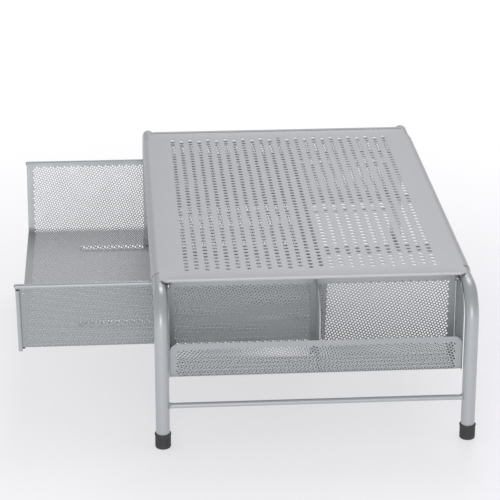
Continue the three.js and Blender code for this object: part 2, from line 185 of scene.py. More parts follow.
class Net:
    """A flat mesh: points in u and v, and faces as index arrays grouped by their number of corners."""

    def __init__(self, points, faces):
        self.points = points
        self.faces = faces

    def part(self, keep):
        """The faces whose middle passes keep, with the points that they use."""
        faces = [f[keep(self.points[f].mean(axis=1))] for f in self.faces]
        faces = [f for f in faces if len(f)]
        used = np.unique(np.concatenate([f.ravel() for f in faces]))
        index = np.full(len(self.points), -1)
        index[used] = np.arange(len(used))
        return Net(self.points[used], [index[f] for f in faces])


def everywhere(middles):
    """Keeps every face."""
    return np.ones(len(middles), bool)


def lone_edges(faces):
    """The edges that only one face uses, in the direction of that face."""
    edges = np.concatenate([np.stack([f, np.roll(f, -1, axis=1)], axis=-1).reshape(-1, 2) for f in faces])
    _, where, used = np.unique(np.sort(edges, axis=1), axis=0, return_index=True, return_counts=True)
    return edges[where[used == 1]]


def perforated_net(outline, centres, holes, angle=0.0, extra=()):
    """A flat sheet inside outline with a hole at each centre, and extra points where it will bend."""
    hole, first = holes.hole()
    corners = rotated(holes.corners, angle)
    hole = rotated(hole, angle)
    cells = (centres[:, None, :] + corners[None]).reshape(-1, 2)
    keys = np.rint(cells / MERGE_STEP).astype(np.int64)
    _, chosen, index = np.unique(keys, axis=0, return_index=True, return_inverse=True)
    corner_points = cells[chosen]
    cell_index = index.reshape(-1, len(corners))
    hole_points = (centres[:, None, :] + hole[None]).reshape(-1, 2)
    hole_index = len(corner_points) + np.arange(len(hole_points)).reshape(-1, holes.sides)
    faces = []
    for k in range(len(corners)):
        following = (k + 1) % len(corners)
        span = (first[following] - first[k]) % holes.sides
        inner = [hole_index[:, (first[k] + span - j) % holes.sides] for j in range(span + 1)]
        faces.append(np.stack([cell_index[:, k], cell_index[:, following], *inner], axis=1))
    # Edges used by one cell only are the rim of the holed area.
    rim = lone_edges([cell_index])
    rim_points = np.unique(rim)
    outline = np.asarray(outline)
    extra = np.asarray(extra, float).reshape(-1, 2)
    fixed = len(outline) + len(extra)
    flat = np.concatenate([outline, extra, corner_points[rim_points]])
    at = np.full(len(corner_points), -1)
    at[rim_points] = fixed + np.arange(len(rim_points))
    ring = [(i, (i + 1) % len(outline)) for i in range(len(outline))]
    wanted = ring + [(int(at[a]), int(at[b])) for a, b in rim]
    found = delaunay_2d_cdt([Vector(p) for p in flat], wanted, [], 0, TOUCHING)
    points, triangles, sources = np.array([tuple(p) for p in found[0]]), np.array(found[2]), found[3]
    middle = points[triangles].mean(axis=1)
    a = np.concatenate([outline, corner_points[rim[:, 0]]])
    b = np.concatenate([np.roll(outline, -1, axis=0), corner_points[rim[:, 1]]])
    triangles = triangles[crossings(middle, a, b) % 2 == 1]
    shared = {fixed + i: int(p) for i, p in enumerate(rim_points)}
    base = len(corner_points) + len(hole_points)
    new_index = np.array([
        next((shared[s] for s in sources[i] if s in shared), base + i) for i in range(len(points))
    ])
    every = np.concatenate([corner_points, hole_points, points])
    side_a = every[new_index[triangles[:, 1]]] - every[new_index[triangles[:, 0]]]
    side_b = every[new_index[triangles[:, 2]]] - every[new_index[triangles[:, 0]]]
    turned = side_a[:, 0] * side_b[:, 1] - side_a[:, 1] * side_b[:, 0] < 0
    triangles[turned] = triangles[turned][:, ::-1]
    faces.append(new_index[triangles])
    return Net(every, faces).part(everywhere)


# ---- meshes ---------------------------------------------------------------------------------------

def make_mesh(name, points, faces, mirror=False):
    """A mesh object from points and index arrays of faces, smooth where its faces meet gently."""
    points = np.asarray(points)
    if mirror:
        points = points * (-1, 1, 1)
        faces = [f[:, ::-1] for f in faces]
    mesh = bpy.data.meshes.new(name)
    mesh.vertices.add(len(points))
    mesh.vertices.foreach_set("co", points.astype(np.float32).ravel())
    loops = np.concatenate([f.ravel() for f in faces]).astype(np.int32)
    sizes = np.concatenate([np.full(len(f), f.shape[1]) for f in faces])
    mesh.loops.add(len(loops))
    mesh.loops.foreach_set("vertex_index", loops)
    mesh.polygons.add(len(sizes))
    mesh.polygons.foreach_set("loop_start", np.concatenate([[0], np.cumsum(sizes)[:-1]]).astype(np.int32))
    mesh.update(calc_edges=True)
    mesh.validate()
    mesh.shade_smooth()
    mesh.set_sharp_from_angle(angle=SMOOTH_ANGLE)
    piece = bpy.data.objects.new(name, mesh)
    bpy.context.scene.collection.objects.link(piece)
    return piece


def sheet_piece(name, net, place, thickness, mirror=False):
    """A flat net put in place by place(u, v) and given a thickness, as one closed mesh."""
    step = 0.05 * MM
    u, v = net.points[:, 0], net.points[:, 1]
    middle = place(u, v)
    along = place(u + step, v) - place(u - step, v)
    across = place(u, v + step) - place(u, v - step)
    normal = np.cross(along, across)
    normal /= np.linalg.norm(normal, axis=1)[:, None]
    count = len(middle)
    points = np.concatenate([middle + normal * thickness / 2, middle - normal * thickness / 2])
    a, b = lone_edges(net.faces).T
    under = [f[:, ::-1] + count for f in net.faces]
    sides = np.stack([b, a, a + count, b + count], axis=1)
    return make_mesh(name, points, [*net.faces, *under, sides], mirror)


def bands(sides, rings, ring_loop=False):
    """Quads from each ring of points to the next, and with ring_loop from the last to the first."""
    i = np.arange(sides)
    j = (i + 1) % sides
    quads = []
    for k in range(rings if ring_loop else rings - 1):
        here, there = k * sides, (k + 1) % rings * sides
        quads.append(np.stack([i + here, j + here, j + there, i + there], axis=1))
    return np.concatenate(quads)


def sweep(name, stations, profile, mirror=False):
    """A closed profile of (side, up) offsets carried along stations of (point, side, up, scale)."""
    profile = np.asarray(profile)
    rings = [
        np.asarray(p) + scale * (profile[:, :1] * np.asarray(side) + profile[:, 1:] * np.asarray(up))
        for p, side, up, scale in stations
    ]
    start = np.arange(len(profile))
    end = start + (len(rings) - 1) * len(profile)
    faces = [bands(len(profile), len(rings)), start[None, ::-1], end[None]]
    return make_mesh(name, np.concatenate(rings), faces, mirror)


def circle(radius, sides):
    """Counter-clockwise offsets of a circle."""
    angles = np.arange(sides) * math.tau / sides
    return radius * np.stack([np.cos(angles), np.sin(angles)], axis=1)


def lathe(name, profile, centre, sides=64):
    """A closed body turned about an upright axis, from (radius, height) points that start and end on it."""
    rim = circle(1.0, sides)
    rings = [np.column_stack([r * rim, np.full(sides, h)]) for r, h in profile[1:-1]]
    poles = [(0, 0, profile[0][1]), (0, 0, profile[-1][1])]
    points = np.concatenate([*rings, poles]) + np.asarray(centre)
    i = np.arange(sides)
    j = (i + 1) % sides
    last = (len(rings) - 1) * sides
    pole = len(rings) * sides
    fans = [
        np.stack([j, i, np.full(sides, pole)], axis=1),
        np.stack([i + last, j + last, np.full(sides, pole + 1)], axis=1),
    ]
    return make_mesh(name, points, [bands(sides, len(rings)), *fans])


class Section:
    """A line in X and Z through corners (x, z, radius), measured along its length."""

    def __init__(self, corners, step=0.2 * MM):
        points = [Vector(corners[0][:2])]
        for i in range(1, len(corners) - 1):
            here = Vector(corners[i][:2])
            before = (Vector(corners[i - 1][:2]) - here).normalized()
            after = (Vector(corners[i + 1][:2]) - here).normalized()
            points += fillet(here, before, after, corners[i][2], step)
        points.append(Vector(corners[-1][:2]))
        self.points = np.array([tuple(p) for p in points])
        self.s = np.concatenate([[0], np.cumsum(np.linalg.norm(np.diff(self.points, axis=0), axis=1))])
        self.length = self.s[-1]

    def at(self, u):
        """Points at distance u along the line, going straight on past its ends."""
        a, b = self.points[1] - self.points[0], self.points[-1] - self.points[-2]
        a, b = a / np.linalg.norm(a), b / np.linalg.norm(b)
        x, z = (np.interp(u, self.s, self.points[:, k]) for k in (0, 1))
        before, past = np.minimum(u, 0), np.maximum(u - self.length, 0)
        return x + before * a[0] + past * b[0], z + before * a[1] + past * b[1]

    def place(self, u, v):
        """Points at distance u along the line and at v along Y."""
        x, z = self.at(u)
        return np.stack([x, v, z], axis=1)


# ---- materials ------------------------------------------------------------------------------------

MIX_A, MIX_B, MIX_RESULT = 6, 7, 2  # the sockets of a Mix node that mixes colours


class Nodes:
    """A material's node tree, with short calls to add nodes and link them."""

    def __init__(self, name):
        self.material = bpy.data.materials.new(name)
        self.material.use_nodes = True
        self.tree = self.material.node_tree
        self.shader = self.tree.nodes["Principled BSDF"]
        self.place = self.add("ShaderNodeTexCoord").outputs["Object"]

    def add(self, kind, **settings):
        node = self.tree.nodes.new(kind)
        for key, value in settings.items():
            if hasattr(node, key):
                setattr(node, key, value)
            else:
                node.inputs[key.replace("_", " ")].default_value = value
        return node

    def link(self, output, node, socket):
        self.tree.links.new(output, node.inputs[socket])
        return node

    def noise(self, scale, detail=2.0, stretch=None):
        node = self.add("ShaderNodeTexNoise", Scale=scale, Detail=detail)
        place = self.place
        if stretch:
            mapping = self.add("ShaderNodeMapping")
            mapping.inputs["Scale"].default_value = stretch
            self.link(place, mapping, "Vector")
            place = mapping.outputs["Vector"]
        self.link(place, node, "Vector")
        return node.outputs["Fac"]

    def ramp(self, value, low, high):
        """value, from 0 to 1, turned into a number from low to high."""
        node = self.add("ShaderNodeMapRange")
        node.inputs["To Min"].default_value = low
        node.inputs["To Max"].default_value = high
        self.link(value, node, "Value")
        return node.outputs["Result"]

    def between(self, value, dark, light):
        """A colour between dark and light."""
        node = self.add("ShaderNodeMix", data_type="RGBA")
        node.inputs[MIX_A].default_value = (*dark, 1)
        node.inputs[MIX_B].default_value = (*light, 1)
        self.link(value, node, "Factor")
        return node.outputs[MIX_RESULT]

    def bump(self, height, strength, distance):
        node = self.add("ShaderNodeBump", Strength=strength, Distance=distance)
        self.link(height, node, "Height")
        self.link(node.outputs["Normal"], self.shader, "Normal")

    def set(self, **values):
        for key, value in values.items():
            self.shader.inputs[key.replace("_", " ")].default_value = value


def powder_coat(name, tone, gloss=0.15, metal=0.4):
    """Satin silver-grey powder coat: fine orange-peel skin, faint flakes and slow changes of tone."""
    darker, lighter, flake_share = 0.93, 1.05, 0.45
    n = Nodes(name)
    flakes = n.add("ShaderNodeTexVoronoi", Scale=3200.0)
    n.link(n.place, flakes, "Vector")
    cloud = n.noise(scale=16.0, detail=3.0)
    mixed = n.add("ShaderNodeMath", operation="MULTIPLY_ADD")
    n.link(flakes.outputs["Color"], mixed, 0)
    mixed.inputs[1].default_value = flake_share
    n.link(n.ramp(cloud, low=0.1, high=0.6), mixed, 2)
    dark = tuple(c * darker for c in tone)
    light = tuple(min(1.0, c * lighter) for c in tone)
    n.link(n.between(mixed.outputs[0], dark, light), n.shader, "Base Color")
    n.link(n.ramp(n.noise(scale=60.0, detail=4.0), low=0.36, high=0.52), n.shader, "Roughness")
    n.bump(n.noise(scale=1100.0, detail=1.5), strength=0.22, distance=0.12 * MM)
    n.set(Metallic=metal, Coat_Weight=gloss, Coat_Roughness=0.2)
    return n.material


def rubber():
    """Matt black moulded rubber with a fine grain and faint lighter patches."""
    n = Nodes("foot_rubber_black")
    colour = n.between(n.noise(scale=240.0, detail=5.0), (0.030, 0.030, 0.033), (0.055, 0.055, 0.060))
    n.link(colour, n.shader, "Base Color")
    n.link(n.ramp(n.noise(scale=500.0, detail=3.0), low=0.52, high=0.72), n.shader, "Roughness")
    n.bump(n.noise(scale=2600.0, detail=2.0), strength=0.35, distance=0.08 * MM)
    return n.material


def zinc():
    """Dull zinc plating with spangle and faint lines along Y."""
    n = Nodes("zinc_plate_dull")
    spangle = n.add("ShaderNodeTexVoronoi", Scale=420.0)
    n.link(n.place, spangle, "Vector")
    colour = n.between(spangle.outputs["Distance"], (0.50, 0.51, 0.53), (0.66, 0.67, 0.68))
    n.link(colour, n.shader, "Base Color")
    lines = n.noise(scale=150.0, detail=4.0, stretch=(1, 0.05, 1))
    n.link(n.ramp(lines, low=0.28, high=0.46), n.shader, "Roughness")
    n.bump(n.noise(scale=900.0, detail=3.0, stretch=(1, 0.08, 1)), strength=0.12, distance=0.05 * MM)
    n.set(Metallic=0.9)
    return n.material


def nylon():
    """Off-white nylon with a moulded skin and faint changes of tone."""
    n = Nodes("glide_nylon_natural")
    colour = n.between(n.noise(scale=90.0, detail=3.0), (0.70, 0.70, 0.66), (0.80, 0.80, 0.77))
    n.link(colour, n.shader, "Base Color")
    n.link(n.ramp(n.noise(scale=300.0, detail=2.0), low=0.38, high=0.55), n.shader, "Roughness")
    n.bump(n.noise(scale=1500.0, detail=2.0), strength=0.2, distance=0.05 * MM)
    return n.material


STUDIO_WHITE = (0.985, 0.98, 1.0, 1)


def floor_with_painted_light():
    """A pale studio table that glows with painted light, though it is no lamp, and glows a little less near
    the stand, which paints a soft shadow there.
    """
    n = Nodes("studio_floor_painted_glow")
    colour = n.between(n.noise(scale=3.0, detail=2.0), (0.445, 0.442, 0.455), (0.465, 0.462, 0.475))
    n.link(colour, n.shader, "Base Color")
    # Painted light: the emission lightens the real shadow under the stand and lights the stand from below. It
    # is weakest near the stand, which paints a soft shadow there.
    reach = n.add("ShaderNodeVectorMath", operation="LENGTH")
    n.link(n.place, reach, 0)
    painted_glow = n.add("ShaderNodeMapRange")
    n.link(reach.outputs["Value"], painted_glow, "Value")
    for socket, value in (("From Min", 0.25), ("From Max", 0.85), ("To Min", 0.56), ("To Max", 0.70)):
        painted_glow.inputs[socket].default_value = value
    n.link(painted_glow.outputs["Result"], n.shader, "Emission Strength")
    n.shader.inputs["Emission Color"].default_value = STUDIO_WHITE
    n.set(Roughness=0.8, Specular_IOR_Level=0.1)
    return n.material


SILVER = (0.515, 0.522, 0.54)
COOL_SILVER = (0.46, 0.485, 0.50)
MESH_SILVER = (0.395, 0.415, 0.428)
COAT = powder_coat("powder_coat_silver", SILVER, metal=0.15)
TUBE_COAT = powder_coat("powder_coat_tube", COOL_SILVER, gloss=0.4)
MESH_COAT = powder_coat("mesh_coat_silver", MESH_SILVER)
RUBBER = rubber()
ZINC = zinc()
NYLON = nylon()


def finish_piece(piece, body, material, slot, *nodes):
    """Gives a piece its finish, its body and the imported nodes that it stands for."""
    piece.data.materials.append(material)
    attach(piece, body)
    if nodes:
        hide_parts(*nodes)
    return piece


# ---- tube frames, feet and cross rods -------------------------------------------------------------

TUBE_SIDES = 48
BEND_STEPS = 20


def frame_stations(y, foot_z):
    """Stations of an inverted U from the left foot over the top to the right foot."""
    side = np.array([0, 1, 0])
    stations = [((-LEG_X, y, foot_z), side, (-1, 0, 0), 1.0)]
    for end, start, stop in ((-1, 0, 90), (1, 90, 180)):
        centre = np.array([end * (LEG_X - BEND_R), y, RUN_Z - BEND_R])
        for k in range(BEND_STEPS + 1):
            turn = math.radians(start + (stop - start) * k / BEND_STEPS)
            out = np.array([-math.cos(turn), 0, math.sin(turn)])
            stations.append((centre + BEND_R * out, side, out, 1.0))
    stations.append(((LEG_X, y, foot_z), side, (1, 0, 0), 1.0))
    return stations


def make_frames():
    for name, y in (("front_tube_frame", FRONT_Y), ("rear_tube_frame", REAR_Y)):
        foot_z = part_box(name)[0].z
        tube = sweep(f"{name}_tube", frame_stations(y, foot_z), circle(TUBE_R, TUBE_SIDES)[::-1])
        finish_piece(tube, "stand", TUBE_COAT, "powder_coat", name)


FOOT_R = 7.2 * MM
FOOT_HOLLOW = 0.5 * MM
FOOT_FLAT = 5.6 * MM
FOOT_EDGE = 1.6 * MM
FOOT_EDGE_START = 0.15
FOOT_CLEARANCE = 0.12 * MM
TUBE_SEAT = 3.0 * MM
GRIP_RINGS = 4


def foot_profile(height):
    """Half the section of a cup foot: from the middle underneath, round the outside, to the tube's seat."""
    inner = TUBE_R + FOOT_CLEARANCE
    groove, rim = FOOT_R - 0.18 * MM, FOOT_R + 0.3 * MM
    profile = [(0, FOOT_HOLLOW), (3.6 * MM, FOOT_HOLLOW), (4.2 * MM, 0), (FOOT_FLAT, 0)]
    profile += [(FOOT_FLAT + FOOT_EDGE * math.sin(a), FOOT_EDGE * (1 - math.cos(a)))
                for a in np.linspace(FOOT_EDGE_START, math.pi / 2, 7)]
    for k in range(GRIP_RINGS):
        z = (4.2 + 1.9 * k) * MM
        profile += [(FOOT_R, z), (groove, z + 0.2 * MM), (groove, z + 0.5 * MM), (FOOT_R, z + 0.7 * MM)]
    profile += [
        (FOOT_R, height - 2.0 * MM), (rim, height - 1.7 * MM), (rim, height - 0.5 * MM),
        (FOOT_R + 0.05 * MM, height), (inner + 0.25 * MM, height), (inner, height - 0.4 * MM),
        (inner, TUBE_SEAT), (0, TUBE_SEAT),
    ]
    return profile


def make_feet():
    """Moulded cup feet: a proud rim at the top, faint grip rings and a rounded bottom edge."""
    for depth in ("front", "rear"):
        for side in ("left", "right"):
            node = f"foot_{depth}_{side}"
            low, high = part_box(node)
            centre = ((low.x + high.x) / 2, (low.y + high.y) / 2, 0)
            foot = lathe(f"{node}_cup", foot_profile(high.z), centre)
            finish_piece(foot, "stand", RUBBER, "foot_rubber", node)


ROD_SIDES = 32
WELD_LENGTH = 2.2 * MM
WELD_REACH = 0.9 * MM
WELD_GROWTH = 0.45
WELD_CURVE = 2.2
WELD_STEPS = 8


def make_cross_rods():
    """Round rods with a small weld fillet where each end meets a leg."""
    for side in ("left", "right"):
        node = f"{side}_cross_rod"
        low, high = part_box(node)
        x, z, r = (low.x + high.x) / 2, (low.z + high.z) / 2, (high.x - low.x) / 2
        stations = []
        for k in range(WELD_STEPS + 1):
            t = k / WELD_STEPS
            y = low.y - WELD_REACH + (WELD_LENGTH + WELD_REACH) * t
            stations.append(((x, y, z), (1, 0, 0), (0, 0, 1), 1 + WELD_GROWTH * (1 - t) ** WELD_CURVE))
        far = [((x, low.y + high.y - p[1], z), s, u, g) for (p, s, u, g) in reversed(stations)]
        rod = sweep(f"{node}_bar", stations + far, circle(r, ROD_SIDES)[::-1])
        finish_piece(rod, "stand", TUBE_COAT, "powder_coat", node)


# ---- top plate ------------------------------------------------------------------------------------

WRAP_X = 192 * MM
WRAP_SWEEP = math.radians(120)
WRAP_STEPS = 17
HEM_X = 212 * MM
FOLD_Y = 134.5 * MM
FOLD_STEPS = 6
FOLD_R = PLATE_T / 2 + 0.05 * MM
FOLD_X = PLATE[1].x - PLATE_T / 2 - FOLD_R
BEND_POINTS = 60  # along each line where the plate bends
FIELD_ROWS, FIELD_COLUMNS = 25, 48
PLATE_MIDDLE = PLATE_TOP - PLATE_T / 2
WRAP_R = PLATE_MIDDLE - RUN_Z
HALF_DEPTH = (REAR_Y - FRONT_Y) / 2
WRAP_V = HALF_DEPTH + WRAP_R * WRAP_SWEEP


def place_plate(u, v):
    """The unrolled plate put over the tubes: u runs along X and v along Y from the stand's middle.

    Past the fold at each end u runs back over the top, as the hem.
    """
    over = np.maximum(np.abs(v) - HALF_DEPTH, 0) / WRAP_R
    y = np.sign(v) * (np.minimum(np.abs(v), HALF_DEPTH) + WRAP_R * np.sin(over))
    z = PLATE_MIDDLE - WRAP_R * (1 - np.cos(over))
    past = np.maximum(np.abs(u) - FOLD_X, 0)
    turn = np.minimum(past / FOLD_R, math.pi)
    back = np.maximum(past - FOLD_R * math.pi, 0)
    x = np.sign(u) * (np.minimum(np.abs(u), FOLD_X) + FOLD_R * np.sin(turn) - back)
    z = z + FOLD_R * (1 - np.cos(turn))
    return np.stack([x, y + STAND_Y, z], axis=1)


def plate_outline():
    """The unrolled plate: shorter along X where it wraps the tubes, with a hem past the fold at each end."""
    corner = 0.3 * MM
    fold_u = FOLD_X + FOLD_R * math.pi / 2
    end_u = FOLD_X + FOLD_R * math.pi + FOLD_X - HEM_X
    quarter = [
        (WRAP_X, -WRAP_V, 0.8 * MM), (WRAP_X, -HALF_DEPTH, corner), (HEM_X, -HALF_DEPTH, corner),
        (fold_u, -FOLD_Y, 0), (end_u, -HALF_DEPTH + 1 * MM, corner),
    ]
    right = quarter + [(u, -v, r) for u, v, r in reversed(quarter)]
    corners = right + [(-u, v, r) for u, v, r in reversed(right)]
    return stepped(rounded(corners, 0.2 * MM), 4 * MM)


def plate_bends():
    """Extra points where the plate goes round the tubes and where its hems fold over."""
    rows = np.linspace(HALF_DEPTH, WRAP_V, WRAP_STEPS + 1)[:-1]
    columns = np.linspace(-WRAP_X + 4 * MM, WRAP_X - 4 * MM, BEND_POINTS)
    wraps = [(u, s * v) for s in (-1, 1) for v in rows for u in columns]
    turns = np.linspace(0, 1, FOLD_STEPS + 1)
    along = np.linspace(-FOLD_Y + 1 * MM, FOLD_Y - 1 * MM, BEND_POINTS)
    folds = [(s * (FOLD_X + t * FOLD_R * math.pi), v) for s in (-1, 1) for t in turns for v in along]
    return wraps + folds


def make_top_plate():
    """The perforated top: rows of holes along X, every second row one hole shorter."""
    centres = []
    for row in range(FIELD_ROWS):
        count = FIELD_COLUMNS - row % 2
        v = (row - (FIELD_ROWS - 1) / 2) * PLATE_HOLES.spacing
        centres += [((k - (count - 1) / 2) * PLATE_HOLES.pitch, v) for k in range(count)]
    net = perforated_net(plate_outline(), np.array(centres), PLATE_HOLES, extra=plate_bends())
    plate = sheet_piece("top_plate_perforated", net, place_plate, PLATE_T)
    finish_piece(plate, "stand", COAT, "powder_coat", "top_plate")


# ---- side trays -----------------------------------------------------------------------------------

TRAY_BEND = 4 * MM
TRAY_MARGIN = 6 * MM
TRAY_TOP_MARGIN = 5 * MM
TRAY_SEAM_MARGIN = 1.4 * MM
TRAY_LIP_TOP = 100 * MM
TRAY_STEP = 2 * MM
BACK_CORNER = 9 * MM
LIP_CORNER = 7.3 * MM
FRONT_CURVE = 24 * MM  # the large rounded corner at the top front of end walls and dividers
END_CORNER = 3 * MM
END_MARGIN = 4.2 * MM
SCREW_MARGIN = 6 * MM
FIELD_STEP = 1 * MM
ROWS_UP, ROWS_DOWN = math.radians(45), math.radians(135)


def inset(outline, margin):
    """A closed outline moved inwards by margin, for where holes may have their centres."""
    points = np.asarray(outline)
    before = points - np.roll(points, 1, axis=0)
    after = np.roll(points, -1, axis=0) - points
    normal = np.zeros(points.shape)
    for edge in (before, after):
        normal += np.stack([-edge[:, 1], edge[:, 0]], axis=1) / np.linalg.norm(edge, axis=1)[:, None]
    length = np.linalg.norm(normal, axis=1)[:, None]
    return points + normal / length * margin * 2 / length


def upright(y):
    """Stands a flat net up at this y, with u along X and v along Z."""
    return lambda u, v: np.stack([u, np.full(len(u), y), v], axis=1)


def make_tray_sheet(side, mirror):
    """One bent sheet in three pieces: the front and rear halves of back wall and floor, and the lip."""
    node = f"{side}_tray_sheet"
    low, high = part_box("right_tray_sheet")
    t = SHEET_T / 2
    back, front, floor = low.x + t, high.x - t, low.z + t
    v0, v1 = low.y, high.y
    middle = (v0 + v1) / 2
    seam_x = front - TRAY_BEND - 1 * MM
    rear = Section([(back, high.z, 0), (back, floor, TRAY_BEND), (seam_x, floor, 0)])
    end = rear.length
    corners = [(0, v0, BACK_CORNER), (end, v0, 0), (end, v1, 0), (0, v1, BACK_CORNER)]
    field = box_outline(TRAY_TOP_MARGIN, end - TRAY_SEAM_MARGIN, v0 + TRAY_MARGIN, v1 - TRAY_MARGIN)
    centres = hole_centres(MESH_HOLES, field, ROWS_DOWN, (0, v0))
    net = perforated_net(stepped(rounded(corners), TRAY_STEP), centres, MESH_HOLES, ROWS_DOWN)
    for name, keep in (("front", lambda m: m[:, 1] < middle), ("rear", lambda m: m[:, 1] >= middle)):
        piece = sheet_piece(f"{side}_tray_back_{name}", net.part(keep), rear.place, SHEET_T, mirror)
        finish_piece(piece, "stand", MESH_COAT, "mesh_coat", node)
    lip = Section([(seam_x, floor, 0), (front, floor, TRAY_BEND), (front, TRAY_LIP_TOP, 0)])
    end = lip.length
    corners = [(0, v0, 0), (end, v0, LIP_CORNER), (end, v1, LIP_CORNER), (0, v1, 0)]
    field = box_outline(TRAY_SEAM_MARGIN, end - TRAY_MARGIN, v0 + TRAY_MARGIN, v1 - TRAY_MARGIN)
    centres = hole_centres(MESH_HOLES, field, ROWS_UP, (0, v0))
    net = perforated_net(stepped(rounded(corners), TRAY_STEP), centres, MESH_HOLES, ROWS_UP)
    piece = sheet_piece(f"{side}_tray_lip", net, lip.place, SHEET_T, mirror)
    finish_piece(piece, "stand", MESH_COAT, "mesh_coat", node)


def make_tray_walls(side, mirror):
    """The end walls: perforated panels with a plain patch round the screw and a rounded top front corner."""
    for depth in ("front", "rear"):
        low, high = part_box(f"right_tray_{depth}_wall")
        corners = [
            (low.x, low.z, END_CORNER), (high.x, low.z, END_CORNER),
            (high.x, high.z, FRONT_CURVE), (low.x, high.z, SMALL_CORNER),
        ]
        field = inset(rounded(corners, FIELD_STEP), END_MARGIN)
        centres = hole_centres(MESH_HOLES, field, ROWS_UP, (low.x, low.z))
        screw = np.array([corner.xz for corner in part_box(f"tray_screw_{depth}_right")]).mean(axis=0)
        centres = centres[np.linalg.norm(centres - screw, axis=1) > SCREW_MARGIN]
        net = perforated_net(stepped(rounded(corners), TRAY_STEP), centres, MESH_HOLES, ROWS_UP)
        place = upright((low.y + high.y) / 2)
        piece = sheet_piece(f"{side}_tray_{depth}_end", net, place, SHEET_T, mirror)
        finish_piece(piece, "stand", MESH_COAT, "mesh_coat", f"{side}_tray_{depth}_wall")


FIN_CORNER = 5 * MM
FIN_MARGIN = 3.6 * MM
FIN_BEND = 1 * MM
FIN_HEM_R = 0.75 * MM
FIN_HEM_SIDES = 12
FIN_HEM_STEPS = 12
FIN_HEM_IN = 0.2 * MM
FIN_HEM_DROP = 0.8 * MM


def make_divider(side, mirror):
    """An upright L: a flange on the tray's back wall, and a perforated fin with a curved front corner."""
    node = f"{side}_tray_divider"
    low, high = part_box("right_tray_divider")
    t = SHEET_T / 2
    y = high.y - t
    line = Section([(low.x + t, low.y, 0), (low.x + t, y, FIN_BEND), (high.x, y, 0)])
    flange = y - low.y
    front = [(line.length, low.z, FIN_CORNER), (line.length, high.z, FRONT_CURVE)]
    notch = 0.3 * MM
    corners = [(0, low.z, SMALL_CORNER), (flange + 2 * MM, low.z, notch), (flange + 5 * MM, low.z, notch),
               *front, (0, high.z, SMALL_CORNER)]
    fin = [(flange + FIN_BEND, low.z, 0), *front, (flange + FIN_BEND, high.z, 0)]
    field = inset(rounded(fin, FIELD_STEP), FIN_MARGIN)
    centres = hole_centres(MESH_HOLES, field, ROWS_UP, (0, low.z))
    net = perforated_net(stepped(rounded(corners), TRAY_STEP), centres, MESH_HOLES, ROWS_UP)

    def place(u, v):
        x, depth = line.at(u)
        return np.stack([x, depth, v], axis=1)

    piece = sheet_piece(f"{side}_tray_divider_fin", net, place, SHEET_T, mirror)
    finish_piece(piece, "stand", MESH_COAT, "mesh_coat", node)
    # The fin's free edge is turned over into a thin round hem, from the floor up round the top corner.
    edge = high.x - FIN_HEM_IN
    path = [(edge, low.z + 6 * MM)]
    path += [(edge - FRONT_CURVE * (1 - math.cos(a)), high.z - FRONT_CURVE * (1 - math.sin(a)))
             for a in np.linspace(0, math.pi / 2, FIN_HEM_STEPS + 1)]
    path.append((low.x + 8 * MM, high.z))
    stations = []
    for k, (x, z) in enumerate(path):
        before, after = path[max(k - 1, 0)], path[min(k + 1, len(path) - 1)]
        run = Vector((after[0] - before[0], after[1] - before[1])).normalized()
        stations.append(((x, y, z - FIN_HEM_DROP), (0, 1, 0), (run.y, 0, -run.x), 1.0))
    hem = sweep(f"{side}_tray_divider_hem", stations, circle(FIN_HEM_R, FIN_HEM_SIDES), mirror)
    finish_piece(hem, "stand", TUBE_COAT, "mesh_coat", node)


# ---- drawer ---------------------------------------------------------------------------------------

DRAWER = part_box("drawer_tray")
HEM_DROP = 2.6 * MM
BEAD_R = 2.3 * MM
BEAD_NOSE = 1.2 * MM
BEAD_X = DRAWER[1].x - BEAD_R
BEAD_Z = DRAWER[1].z - BEAD_R
DRAWER_FLOOR = DRAWER[0].z + HEM_DROP
DRAWER_FRONT = DRAWER[0].y + BEAD_NOSE
DRAWER_REAR = DRAWER[1].y
FLOOR_X = 155 * MM
RIM_X = 171.7 * MM
DRAWER_BEND = 4.5 * MM
GROOVE_X = 100 * MM
GROOVE_FRONT = STAND_Y - 217 * MM
GROOVE_DEPTH = 2.4 * MM
GROOVE_HALF = 6.5 * MM
GROOVE_FLAT = 4.0 * MM
GROOVE_START = 4 * MM  # length over which a groove's closed front end reaches full depth
SIDE_MARGIN = 6.5 * MM
FRONT_MARGIN = 8 * MM
TOP_MARGIN = 3.2 * MM
REAR_MARGIN = 2.5 * MM
SEAM_MARGIN = 1.2 * MM
DRAWER_STEP = 2.5 * MM


def groove_drop(x, y):
    """Depth of the two grooves pressed down into the drawer's floor."""
    def ease(t):
        t = np.clip(t, 0, 1)
        return t * t * (3 - 2 * t)

    across = ease((GROOVE_HALF - np.abs(np.abs(x) - GROOVE_X)) / (GROOVE_HALF - GROOVE_FLAT))
    front = ease((y - GROOVE_FRONT) / GROOVE_START)
    return GROOVE_DEPTH * across * front


def drawer_section():
    """The trough's line in X and Z, from the left rim over the floor to the right rim."""
    t = SHEET_T / 2
    floor = DRAWER_FLOOR + t
    return Section([(-RIM_X + t, BEAD_Z, 0), (-FLOOR_X + t, floor, DRAWER_BEND),
                    (FLOOR_X - t, floor, DRAWER_BEND), (RIM_X - t, BEAD_Z, 0)])


def place_drawer(section):
    """Puts a flat net on the section, with the grooves pressed into the floor."""
    def place(u, v):
        points = section.place(u, v)
        on_floor = np.abs(points[:, 0]) < GROOVE_X + 3 * GROOVE_HALF
        points[:, 2] -= np.where(on_floor, groove_drop(points[:, 0], v), 0)
        return points
    return place


